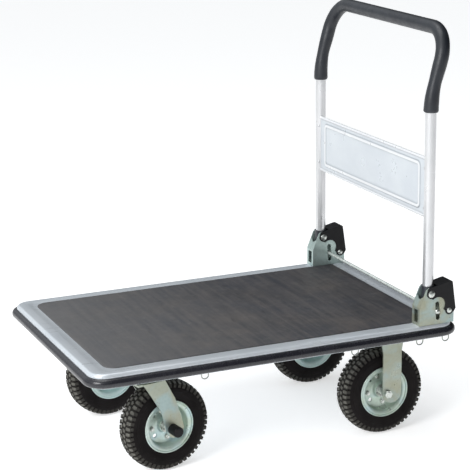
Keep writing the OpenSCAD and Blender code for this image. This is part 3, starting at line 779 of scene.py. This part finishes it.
# %% Mat
def make_mat():
    """A flat sheet with notches round the hinge brackets and a softened upper edge."""
    low, high = mat_low.z, mat_high.z
    notch_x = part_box("hinge_bracket_left")[0].x - 3 * MM
    notch_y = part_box("hinge_bracket_right")[0].y - 2 * MM
    nose_r, front_r = 4 * MM, 28 * MM
    right = [(mat_high.x, notch_y - nose_r)]
    right += arc((mat_high.x - nose_r, notch_y - nose_r), nose_r, 0, 90, 4)[1:]
    right += [(notch_x, notch_y), (notch_x, mat_high.y)]
    left = [(x, -y) for x, y in reversed(right)]
    front = [(p.x, p.y) for p, _ in rounded_rect(mat_high.x, mat_high.y, front_r, 8) if p.x < 0]
    inset = 0.7 * MM
    levels = ((low, 0), (high - inset, 0), (high - 0.2 * MM, 0.25 * MM), (high, inset))
    bm = bmesh.new()
    skin(bm, [[(x - math.copysign(shrink, x), y - math.copysign(shrink, y), z)
               for x, y in left + right + front] for z, shrink in levels], caps=True)
    publish("deck_mat_sheet", mesh_of(bm), "root", MAT, ["deck_mat"], 50)


make_mat()


# %% Bumper
def make_bumper():
    """A hollow-looking nose: a long upper slope, a tight tip below the middle, a short return."""
    low, high = bumper_low.z, bumper_high.z
    proud = bumper_high.x - deck_high.x
    middle, half = (low + high) / 2, (high - low) / 2
    flat, back = 0.8 * MM - proud, 0.05 * MM - proud
    section = [(back, high), (flat, high)]
    for i in range(1, 20):
        a = math.radians(90 - 180 * i / 20)
        out = flat - flat * math.cos(a) ** 0.9
        section.append((out, middle + half * math.sin(a) - 0.8 * MM * math.cos(a)))
    section += [(flat, low), (back, low)]
    bm = bmesh.new()
    sweep_around(bm, bumper_high.x, bumper_high.y, CORNER_R + proud, section, 14)
    publish("bumper_strip", mesh_of(bm), "root", BUMPER, ["edge_bumper"], 60)


make_bumper()

# %% [markdown]
# ## The handle
#
# The handle is one bent tube. Its path is the same on both sides, so one side is written as a
# list of points, straight up, a gentle bend back, a straight lean and a tight corner, and the
# other side is its mirror. A pipe is then a circle carried along that path.


# %% Handle path
LEAN = math.asin(0.28)
LEAN_R = 275 * MM
LEAN_Z = 785 * MM
LEAN_LEN = 113 * MM
HANDLE_R = 70 * MM
print("handle leans back by %.1f degrees" % math.degrees(LEAN))


def handle_side(z0):
    """Centre line of the right half of the handle, from height z0 to the bar's middle."""
    points = [Vector((PIVOT.x, LEG_Y, z0)), Vector((PIVOT.x, LEG_Y, LEAN_Z))]
    for i in range(1, 9):
        a = LEAN * i / 8
        back, up = LEAN_R * (1 - math.cos(a)), LEAN_R * math.sin(a)
        points.append(Vector((PIVOT.x + back, LEG_Y, LEAN_Z + up)))
    foot = points[-1].copy()
    up = Vector((math.sin(LEAN), 0, math.cos(LEAN)))
    corner = foot + up * (LEAN_LEN - HANDLE_R) - Vector((0, HANDLE_R, 0))
    for i in range(0, 17):
        a = math.pi / 2 * i / 16
        points.append(corner + Vector((0, HANDLE_R * math.cos(a), 0)) + up * (HANDLE_R * math.sin(a)))
    points.append(Vector((points[-1].x, 0, points[-1].z)))
    return points


def handle_line(z0):
    """The whole centre line, from the foot of one leg to the foot of the other."""
    right = handle_side(z0)
    left = [Vector((p.x, -p.y, p.z)) for p in reversed(right[:-1])]
    return right + left


def pipe(bm, line, radii, steps=32, caps=True):
    """Carries circles along a line. radii gives one radius for each point of the line."""
    rings = []
    normal = None
    for i, point in enumerate(line):
        ahead = line[min(i + 1, len(line) - 1)] - line[max(i - 1, 0)]
        ahead.normalize()
        if normal is None:
            normal = ahead.orthogonal().normalized()
        else:
            normal = (normal - ahead * normal.dot(ahead)).normalized()
        side = ahead.cross(normal)
        rings.append([point + radii[i] * (math.cos(a) * normal + math.sin(a) * side)
                      for a in (2 * math.pi * k / steps for k in range(steps))])
    skin(bm, rings, caps=caps)


def resample(line, spacing):
    """Adds points to a line's long stretches, so that a section along it stays even."""
    out = [line[0]]
    for a, b in zip(line, line[1:]):
        pieces = max(1, int((b - a).length / spacing))
        out += [a.lerp(b, i / pieces) for i in range(1, pieces + 1)]
    return out


# %% Handle tube and grip
def make_handle_tube():
    """The bent tube, a circle all along its line."""
    line = resample(handle_line(tube_low.z), 60 * MM)
    bm = bmesh.new()
    pipe(bm, line, [TUBE_R] * len(line), 40)
    publish("handle_tube_bent", mesh_of(bm), "handle", PAINT, ["handle_tube"], 50)


def make_grip():
    """Foam sleeve: fuller at its cut ends, drawn thin where it is stretched round the bends."""
    line = resample(handle_line(grip_low.z), 3 * MM)
    lengths = [0.0]
    for a, b in zip(line, line[1:]):
        lengths.append(lengths[-1] + (b - a).length)
    total = lengths[-1] - GRIP_SHIFT
    line = [p for p, s in zip(line, lengths) if s <= total]
    lengths = lengths[:len(line)]
    flare, bend, bend_reach, end_round = 45 * MM, 65 * MM, 28 * MM, 2.5 * MM
    radii = []
    for s in lengths:
        end = min(s, lengths[-1] - s)
        left = 1 - min(end / end_round, 1.0)
        r = GRIP_R - 0.7 * MM + 1.5 * MM * math.exp(-end / flare)
        r -= 1.7 * MM * math.exp(-((end - bend) / bend_reach) ** 2)
        r -= 1.6 * MM * (1 - math.sqrt(1 - left ** 2))
        r -= 0.05 * MM * (1 + math.sin(s * 95)) + 0.03 * MM * (1 + math.sin(s * 231 + 1))
        radii.append(r)
    bm = bmesh.new()
    pipe(bm, line, radii, 36)
    publish("grip_sleeve", mesh_of(bm), "handle", FOAM, ["handle_grip"], 50)


make_handle_tube()
make_grip()

# %% [markdown]
# ### The panel between the legs
#
# A pressed sheet: its long edges are hemmed round, and a raised bead runs round its middle as
# a rounded rectangle. The relief is one function of the place on the sheet, so the same
# function shapes the sheet and tells the finish where a ridge or a crease is. The finish paints
# a highlight on the ridges and shade in the creases.


# %% Handle panel
def make_panel():
    """The sheet as sections across it, denser near the bead, with the relief as attributes."""
    mid_x = (panel_low.x + panel_high.x) / 2
    half_y = panel_high.y - 0.4 * MM
    low, high = panel_low.z, panel_high.z
    mid_z, half_z = (high + low) / 2, (high - low) / 2
    hem = 3.5 * MM
    bead_y, bead_z = half_y - 27 * MM, half_z - 20 * MM
    bead_half, bead_r, bead_rise, field_rise = 6.0 * MM, 8 * MM, 1.9 * MM, 0.5 * MM

    def height(y, z):
        """Rise of the bead and of the field inside it, by the distance from the bead's line."""
        over_y = max(abs(y) - bead_y + bead_r, 0)
        over_z = max(abs(z - mid_z) - bead_z + bead_r, 0)
        outside = math.hypot(over_y, over_z) - bead_r
        bead = 1 - smooth_step(abs(outside), bead_half - 3 * MM, bead_half)
        field = smooth_step(-outside, bead_half, bead_half + 4 * MM)
        return bead_rise * bead + field_rise * field

    def spaced(half, edge):
        """Positions from -half to half, denser near the bead at +-edge."""
        fine, coarse = 1.0 * MM, 16 * MM
        stops = [0.0]
        while stops[-1] < half - 0.01 * MM:
            gap = abs(stops[-1] - edge)
            step = fine if gap < bead_half else min(coarse, max(fine, gap * 0.35))
            stops.append(min(stops[-1] + step, half))
        return [-v for v in reversed(stops[1:])] + stops

    def relief(point):
        """How far a point is on a ridge, and how far in a crease, each from 0 to 1."""
        _, y, z = point
        rim = min(z - low, high - z)
        lip = 1 - smooth_step(rim, 2 * hem, 2.4 * hem)
        gutter = smooth_step(rim, 1.7 * hem, 2 * hem) * (1 - smooth_step(rim, 2 * hem, 2.5 * hem))
        slope = abs(height(y + MM, z) - height(y - MM, z)) + abs(height(y, z + MM) - height(y, z - MM))
        ridge = max(smooth_step(height(y, z) / bead_rise, 0.5, 1), lip)
        return ridge, max(min(slope / (1.4 * MM), 1), gutter)

    zs = [mid_z + v for v in spaced(half_z - 2 * hem, bead_z)]
    face_x = mid_x - SHEET / 2
    roll_top = [math.radians(v) for v in range(120, -121, -30)]
    roll_low = [math.radians(v) for v in range(30, -211, -30)]
    rows = []
    for y in spaced(half_y, bead_y):
        row = [(face_x - height(y, z), y, z) for z in zs]
        row += [(mid_x - hem * math.sin(v), y, high - hem + hem * math.cos(v)) for v in roll_top]
        row += [(face_x + SHEET - height(y, z), y, z) for z in reversed(zs)]
        row += [(mid_x + hem * math.cos(v), y, low + hem + hem * math.sin(v)) for v in roll_low]
        rows.append(row)
    bm = bmesh.new()
    skin(bm, rows, caps=True)
    mesh = mesh_of(bm)
    # The ridge values mark where a highlight is painted, and the crease values mark painted shade, the
    # hem's gutter included.
    marks = [relief(v.co) for v in mesh.vertices]
    for name, values in zip(("ridge", "crease"), zip(*marks)):
        mesh.attributes.new(name, "FLOAT", "POINT").data.foreach_set("value", values)
    publish("handle_panel_pressed", mesh, "handle", PANEL, ["handle_panel"], 45)


make_panel()

# %% [markdown]
# ## Wheels
#
# A pneumatic wheel is a tyre on a rim of two pressed halves bolted together. All four are
# alike, so their parts are drawn once round the Y axis, outer side towards -Y, and a matrix
# from each wheel's joint puts them in place: the front pair stands a little turned.


# %% Wheel places
WHEELS = ("front_left", "front_right", "rear_left", "rear_right")
tyre_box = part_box("tyre_rear_left")
TYRE_R = (tyre_box[1].z - tyre_box[0].z) / 2
TYRE_HALF = (tyre_box[1].y - tyre_box[0].y) / 2
BEAD_R = 50.5 * MM
RIM_R = 62.5 * MM


def wheel_place(name):
    """Matrix from the wheel drawn round the Y axis to its place on the cart."""
    joint = joints["roll_" + name]
    axle = Vector(joint["axis"]).normalized()
    if name.endswith("right"):
        axle = -axle
    ahead = axle.cross(Vector((0, 0, 1)))
    turn = Matrix((ahead, axle, Vector((0, 0, 1)))).transposed().to_4x4()
    return Matrix.Translation(Vector(joint["pos_m"])) @ turn


print("tyre %.0f mm across, %.0f mm wide" % (2000 * TYRE_R, 2000 * TYRE_HALF))

# %% [markdown]
# ### Tyre
#
# The carcass is a lathe: bead, bulging side wall with two raised rings, shoulder and crown.
# The tread is four rows of lugs. One lug of each kind is modelled as a block whose top
# follows the crown, and the ring tree copies it round the tyre. The two middle rows are
# staggered against each other, and the shoulder lugs reach down onto the side wall, which
# gives the tyre its toothed outline. A "wear" attribute marks the faces that meet the floor,
# so that the finish can make them dusty.


# %% Tyre
LUG_RISE = 3.4 * MM
LUG_SINK = 1.5 * MM
LUG_TAPER = 0.16
LUGS = 50
PITCH = 360 / LUGS


def crown(y):
    """Radius of the carcass under the tread at a distance y from its middle."""
    return TYRE_R - LUG_RISE - 12.0 * MM * (abs(y) / TYRE_HALF) ** 2.3


def lug_top(y):
    """Radius of the lugs' ground faces at a distance y from the middle."""
    return TYRE_R - 8.0 * MM * (abs(y) / TYRE_HALF) ** 3


def carcass_section():
    """(radius, along) points of the tyre's closed section, from the outer bead round."""
    wall = [(0.4, 21.0), (3, 22.6), (8, 22.8), (11.5, 23.6), (12.2, 24.9), (13.4, 25.4), (14.4, 25.2),
            (19, 26.8), (25, 27.8), (30, 28.0), (31, 28.0), (31.5, 27.5), (35, 27.4), (38.5, 26.9)]
    half = TYRE_HALF / (28 * MM)
    right = [(BEAD_R + r * MM, y * MM * half) for r, y in wall]
    half_tread = (24.6, 21, 17, 13, 9, 5, 1.5)
    tread = [(crown(y * MM), y * MM) for y in half_tread + tuple(-y for y in reversed(half_tread))]
    left = [(r, -y) for r, y in reversed(right)]
    lining = [(TYRE_R - 11 * MM, 12 * MM), (TYRE_R - 22 * MM, 20 * MM), (BEAD_R + 12 * MM, 17 * MM),
              (BEAD_R + 3 * MM, 14 * MM)]
    inner = [(r, -y) for r, y in reversed(lining)] + [(TYRE_R - 9 * MM, 0)] + lining
    return right + tread + left + inner


def lug(corners):
    """A block standing on the crown. corners are (angle in degrees, along in mm) points."""
    bm = bmesh.new()
    centre_a = sum(a for a, _ in corners) / len(corners)
    centre_y = sum(y for _, y in corners) / len(corners)
    rings = []
    for rise, shrink in ((-1, 1.0), (0.8, 1 - LUG_TAPER * 0.6), (1, 1 - LUG_TAPER)):
        ring = []
        for a, y in corners:
            a = math.radians(centre_a + (a - centre_a) * shrink)
            y = (centre_y + (y - centre_y) * shrink) * MM
            r = crown(y) - LUG_SINK if rise < 0 else crown(y) + rise * (lug_top(y) - crown(y))
            ring.append((r * math.cos(a), y, r * math.sin(a)))
        rings.append(ring)
    rows = skin(bm, rings)
    wear = bm.faces.layers.float.new("wear")
    top = bm.faces.new(rows[-1])
    foot = bm.faces.new(rows[0])
    for face in bm.faces:
        face[wear] = 0.35
    top[wear] = 1.0
    foot[wear] = 0.0
    return mesh_of(bm)


def tread_meshes():
    """The rows of lugs, each as one mesh round the Y axis."""
    inner = [(-0.36 * PITCH, 1.2), (0.20 * PITCH, 1.2), (0.38 * PITCH, 6.0), (0.34 * PITCH, 11.2),
             (-0.22 * PITCH, 11.2), (-0.40 * PITCH, 6.0)]
    shoulder = [(-0.30 * PITCH, 13.2), (0.30 * PITCH, 13.2), (0.36 * PITCH, 19.0), (0.30 * PITCH, 25.6),
                (-0.30 * PITCH, 25.6), (-0.36 * PITCH, 19.0)]
    rows = []
    for side in (1, -1):
        phase = 0 if side > 0 else math.radians(PITCH / 2)
        for shape, shift in ((inner, 0.0), (shoulder, math.radians(PITCH / 2))):
            block = lug([(a, side * y) for a, y in shape])
            rows.append(run_tree(RING, block, "tread_row", Count=LUGS, Start_Angle=phase + shift,
                                 Material=TYRE))
    return rows


TREAD = tread_meshes()
print("tread:", len(TREAD), "rows of", LUGS, "lugs")


def make_tyre(name, place):
    """Carcass and tread as one piece."""
    bm = bmesh.new()
    lightening = bm.faces.layers.float.new("wear")
    lathe(bm, carcass_section(), 138)
    bmesh.ops.recalc_face_normals(bm, faces=bm.faces)
    for face in bm.faces:
        middle = face.calc_center_median()
        face[lightening] = 0.25 if math.hypot(middle.x, middle.z) > TYRE_R - 9 * MM else 0.0
    for row in TREAD:
        bm.from_mesh(row)
    mesh = mesh_of(bm, place, outward=False)
    publish("tyre_tread_" + name, mesh, "wheel_" + name, TYRE, ["tyre_" + name], 40)


# %% [markdown]
# ### Rim and bolts
#
# Each rim half is a pressed dish: a rolled flange that holds the tyre, a barrel, a flat disc
# and a cup for the bearing. The flange's roll is a small circle in the section. Four round
# holes are drilled through the disc, about midway between its four bolts.


# %% Rims
HOLE_CIRCLE = 35 * MM
HOLE_R = 5 * MM


def rim_section(side):
    """Closed section of a rim half, its open side at -Y for side -1."""
    roll = arc((RIM_R - 1.9 * MM, 26.0 * MM), 1.9 * MM, -60, 210, 9)
    outer = [(45.0, 2.2), (46.6, 3.0), (47.6, 5.0), (48.2, 10), (48.6, 21), (49.6, 23.4), (52.5, 25.2),
             (57.5, 26.0)]
    inner = [(58.5, 23.9), (52.6, 23.2), (51.0, 22.0), (50.4, 19.5), (50.2, 9.5), (49.2, 4.0),
             (47.5, 1.2), (45.5, 0.4)]
    cup = [(7.5, 0.4), (7.5, 3.4), (15.0, 4.0), (15.8, 5.0), (15.9, 12.4), (16.6, 13.0), (17.4, 12.6),
           (18.2, 5.0), (20.0, 2.8), (22.5, 2.2)]
    points = [(r * MM, y * MM) for r, y in cup + outer] + roll[::-1]
    points += [(r * MM, y * MM) for r, y in inner]
    return [(r, side * y) for r, y in points]


def drilled_rim(side):
    """One rim half round the Y axis, with four round holes in its disc."""
    dish, drills = bmesh.new(), bmesh.new()
    lathe(dish, rim_section(side), 96)
    for a in (math.radians(45 + 90 * k) for k in range(4)):
        turned(drills, HOLE_CIRCLE * math.cos(a), HOLE_CIRCLE * math.sin(a),
               ((HOLE_R, -4 * MM), (HOLE_R, 4 * MM)), 20)
    rim = bpy.data.objects.new("rim", mesh_of(dish))
    drill = bpy.data.objects.new("drill", mesh_of(drills))
    for made in (rim, drill):
        scene.collection.objects.link(made)
    cut = rim.modifiers.new("holes", "BOOLEAN")
    cut.object = drill
    cut.operation = "DIFFERENCE"
    cut.solver = "EXACT"
    mesh = plain_mesh(rim)
    bpy.data.objects.remove(drill)
    return mesh


DRILLED = {side: drilled_rim(side) for side in (-1, 1)}
print("rim half:", len(DRILLED[1].polygons), "faces")


def make_rim(name, place, which, side):
    """Copies a drilled rim half to its wheel."""
    mesh = DRILLED[side].copy()
    mesh.transform(place)
    piece_name = "rim_%s_dish_%s" % (which, name)
    publish(piece_name, mesh, "wheel_" + name, RIM_ZINC, ["rim_%s_%s" % (which, name)], 40)


# %% Rim bolts
BOLT_CIRCLE = 33 * MM
BOLT_PHASE = math.radians(-12)
WASHER_R = 7.0 * MM
HEAD_R = 5.8 * MM


def hex_bolt(side):
    """A washer, a hexagon head and a shank's end, on the +Y or the -Y face of the rim's disc."""
    base, washer_top, edge, top, tip = (side * v * MM for v in (2.2, 3.1, 6.4, 7.2, 8.8))
    bm = bmesh.new()
    turned(bm, BOLT_CIRCLE, 0, ((WASHER_R, base), (WASHER_R, washer_top)), 18)
    turned(bm, BOLT_CIRCLE, 0, ((HEAD_R, washer_top), (HEAD_R, edge), (0.84 * HEAD_R, top)), 6)
    turned(bm, BOLT_CIRCLE, 0, ((0.5 * HEAD_R, top), (0.5 * HEAD_R, tip)), 12)
    return mesh_of(bm)


RIM_BOLTS = [run_tree(RING, hex_bolt(side), "rim_bolt_ring", Count=4, Start_Angle=BOLT_PHASE,
                      Material=BRIGHT) for side in (1, -1)]
print("rim bolts:", len(RIM_BOLTS), "rings of 4")


def make_rim_bolts(name, place):
    """Both rings of a wheel's bolts as one piece."""
    bm = bmesh.new()
    for ring in RIM_BOLTS:
        bm.from_mesh(ring)
    mesh = mesh_of(bm, place, outward=False)
    publish("rim_bolt_set_" + name, mesh, "wheel_" + name, BRIGHT,
            ["rim_bolts_" + name], 30)


# %% Four wheels
for wheel in WHEELS:
    at = wheel_place(wheel)
    make_tyre(wheel, at)
    make_rim(wheel, at, "outer", -1)
    make_rim(wheel, at, "inner", 1)
    make_rim_bolts(wheel, at)

# %% [markdown]
# ## Hinges, latch and casters
#
# These parts are already the right shape in the frame: bent plates, pins and moulded covers.
# What they lack is the softness of a real edge, so each visible one is welded and its edges
# are rounded, by more on moulded covers than on thin plates.


# %% Softened parts
def pair(name):
    """The left and the right part of a name."""
    return [name + "_left", name + "_right"]


SOFTENED = [
    (pair("hinge_bracket"), 0.7, ZINC, "zinc_plate"),
    (pair("hinge_cover"), 1.1, COVER, "cover_plastic"),
    (pair("tube_ferrule"), 0.6, FERRULE, "ferrule_plastic"),
    (pair("fixed_fork") + pair("swivel_fork"), 1.2, ZINC, "zinc_plate"),
    (["swivel_plates"], 0.8, ZINC, "zinc_plate"),
    (pair("axle_cap"), 1.0, COVER, "cover_plastic"),
    (["fixed_axles"] + pair("swivel_axle"), 0.5, BRIGHT, "bright_zinc"),
    (pair("swivel_race") + ["king_pins", "caster_bolts"], 0.5, BRIGHT, "bright_zinc"),
    (["bracket_bolts"], 0.4, BRIGHT, "bright_zinc"),
    (["latch_rod"], 0.4, LATCH_ROD_ZINC_HIGHLIGHT, "bright_zinc"),
    (["caster_channels", "deck_stiffeners"], 0.8, DECK, "deck_steel"),
]
SOFT = {name: soften(name, width, finish)
        for names, width, finish, slot in SOFTENED for name in names}
print("softened parts:", len(SOFT))

# %% [markdown]
# ## Crown of the hinge covers
#
# The moulded cover is crowned at its rear: its roof rises and draws back towards the upper
# corner, and its heel hangs lower. A few vertices of the softened cover move, so its edges
# stay rounded.


# %% Crown of the hinge covers
ROOF_FROM, ROOF_UP = 43 * MM, 85 * MM
HEEL_FROM, HEEL_UP = 61 * MM, 45 * MM


def crown_cover(piece):
    """Moves a cover's two rear corners, by their place behind the pivot and above the rim."""
    for v in piece.data.vertices:
        back, up = v.co.x - PIVOT.x, v.co.z - RIM_Z
        if back > ROOF_FROM - MM and up > ROOF_UP:
            v.co.x += 0.28 * (back - ROOF_FROM)
            v.co.z += 1.0 * MM + 0.46 * (back - ROOF_FROM)
        elif back > HEEL_FROM and up < HEEL_UP:
            v.co.x += 0.8 * MM
            v.co.z -= 6.0 * MM


for cover in pair("hinge_cover"):
    crown_cover(SOFT[cover])
print("covers crowned, top at", round(max(v.co.z for v in SOFT[cover].data.vertices), 4))

# %% [markdown]
# ## Small parts
#
# Pins, rivets, loops, bearings and inner tubes are small or hidden, so they keep the frame's
# own shape and only get a finish.

# %% Small parts that keep their frame shape
KEPT = {"pivot_pins": BRIGHT, "cover_rivets": BRIGHT, "rod_caps": BRIGHT, "panel_rivets": PAINT,
        "lashing_eyes": EYE_WIRE}
for wheel in WHEELS:
    KEPT["bearings_" + wheel] = BRIGHT
    KEPT["inner_tube_" + wheel] = TUBE_RUBBER
for name, finish in KEPT.items():
    materials = frame["nodes"][name].data.materials
    materials.clear()
    materials.append(finish)
print("kept parts:", len(KEPT))

# %% [markdown]
# ## Latch springs
#
# Two coils stand under the latch rod. They shorten when it is pressed.


# %% Latch springs
def make_springs():
    """Both coils as one piece, anchored at their feet."""
    low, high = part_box("latch_springs")
    wire = 0.7 * MM
    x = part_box("latch_rod")[0].x + 4.5 * MM
    bm = bmesh.new()
    for y in (-LEG_Y, LEG_Y):
        coil = run_tree(COIL, bpy.data.meshes.new("empty"), "coil", Radius=4.4 * MM,
                        Height=high.z - low.z - 2 * wire, Turns=6.5, Wire=wire,
                        Place=(x, y, low.z + wire), Material=WIRE)
        bm.from_mesh(coil)
    mesh = mesh_of(bm, outward=False)
    piece = publish("latch_spring_coils", mesh, "root", WIRE, ["latch_springs"], 60)
    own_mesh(piece)


make_springs()
